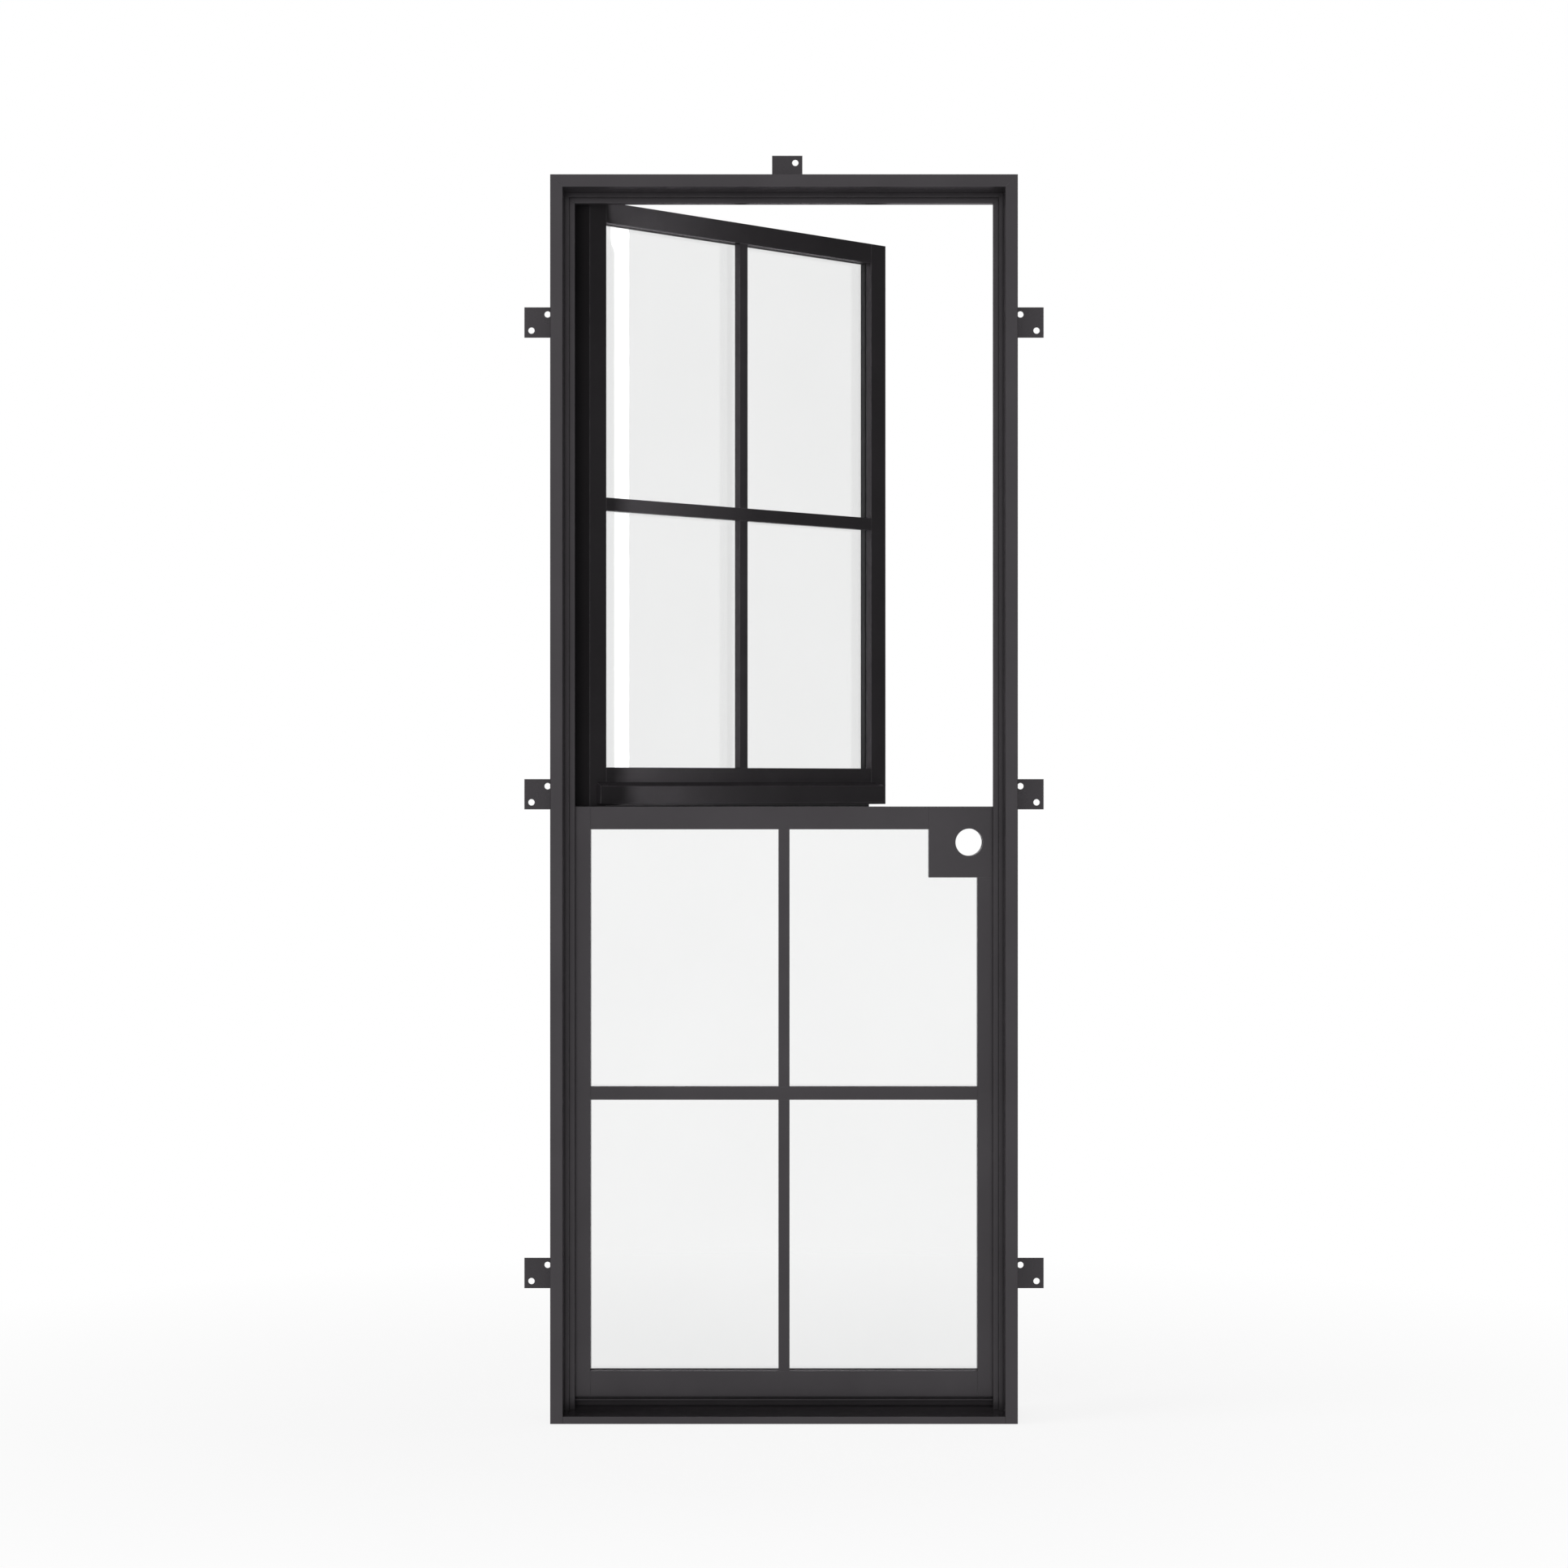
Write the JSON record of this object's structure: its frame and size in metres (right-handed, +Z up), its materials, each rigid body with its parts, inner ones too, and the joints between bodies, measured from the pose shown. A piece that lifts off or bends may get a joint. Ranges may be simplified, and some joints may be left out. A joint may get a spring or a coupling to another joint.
{
  "type": "dutch stable door",
  "caption": "Steel-framed dutch door with two glazed leaves that swing apart on one hinge line, in a tube frame with fixing tabs.",
  "frame": {"origin": "centre of the sill's underside, midway through the frame's depth", "axes": "+Z up, +X to the latch side, -Y to the outside, and the leaves swing towards +Y"},
  "size_m": [1.028, 0.7601, 2.486],
  "materials": {
    "black_steel": "satin powder coat, near black",
    "tab_steel": "satin powder coat, near black",
    "black_rubber": "matt black rubber",
    "glass": "clear float glass",
    "spacer_bar": "grey spacer bar",
    "pin_steel": "bright turned steel"
  },
  "bodies": {
    "frame": {"hinge_jamb": "black_steel", "latch_jamb": "black_steel", "head": "black_steel", "sill": "black_steel", "hinge_stop": "black_steel", "latch_stop": "black_steel", "head_stop": "black_steel", "hinge_seal": "black_rubber", "latch_seal": "black_rubber", "head_seal": "black_rubber", "tab_left_bottom": "tab_steel", "tab_left_middle": "tab_steel", "tab_left_top": "tab_steel", "tab_right_bottom": "tab_steel", "tab_right_middle": "tab_steel", "tab_right_top": "tab_steel", "tab_head": "tab_steel", "hinge_1_frame_half": "black_steel", "hinge_2_frame_half": "black_steel", "hinge_3_frame_half": "black_steel", "hinge_4_frame_half": "black_steel", "hinge_pins": "pin_steel", "hinge_washers": "pin_steel"},
    "lower_leaf": {"lower_hinge_stile": "black_steel", "lower_latch_stile": "black_steel", "lower_top_rail": "black_steel", "lower_bottom_rail": "black_steel", "lower_cross_bar": "black_steel", "lower_upright_bars": "black_steel", "lower_gasket": "black_rubber", "lower_outer_pane": "glass", "lower_spacer": "spacer_bar", "lower_inner_pane": "glass", "lower_bead": "black_steel", "lock_box": "black_steel", "sweep_holder": "black_steel", "sweep_blade": "black_rubber", "bolt_keeper": "black_steel", "hinge_1_leaf_half": "black_steel", "hinge_2_leaf_half": "black_steel"},
    "upper_leaf": {"upper_hinge_stile": "black_steel", "upper_latch_stile": "black_steel", "upper_top_rail": "black_steel", "upper_bottom_rail": "black_steel", "upper_cross_bar": "black_steel", "upper_upright_bars": "black_steel", "upper_gasket": "black_rubber", "upper_outer_pane": "glass", "upper_spacer": "spacer_bar", "upper_inner_pane": "glass", "upper_bead": "black_steel", "drip_bar": "black_steel", "meeting_blade": "black_rubber", "blade_clamp": "black_steel", "bolt_guide": "black_steel", "hinge_3_leaf_half": "black_steel", "hinge_4_leaf_half": "black_steel"},
    "bolt": {"bolt_rod": "black_steel"}
  },
  "joints": [
    {"name": "lower_leaf_hinge", "type": "hinge", "parent": "frame", "child": "lower_leaf", "pos_m": [-0.4262, 0.0864, 0], "axis": [0, 0, 1], "range_deg": [0, 170], "deforming": ["meeting_blade"]},
    {"name": "upper_leaf_hinge", "type": "hinge", "parent": "frame", "child": "upper_leaf", "pos_m": [-0.4262, 0.0864, 0], "axis": [0, 0, 1], "range_deg": [-45, 125], "deforming": ["meeting_blade"]},
    {"name": "bolt_slide", "type": "slide", "parent": "upper_leaf", "child": "bolt", "axis": [0, 0, 1], "range_m": [-0.028, 0]}
  ]
}
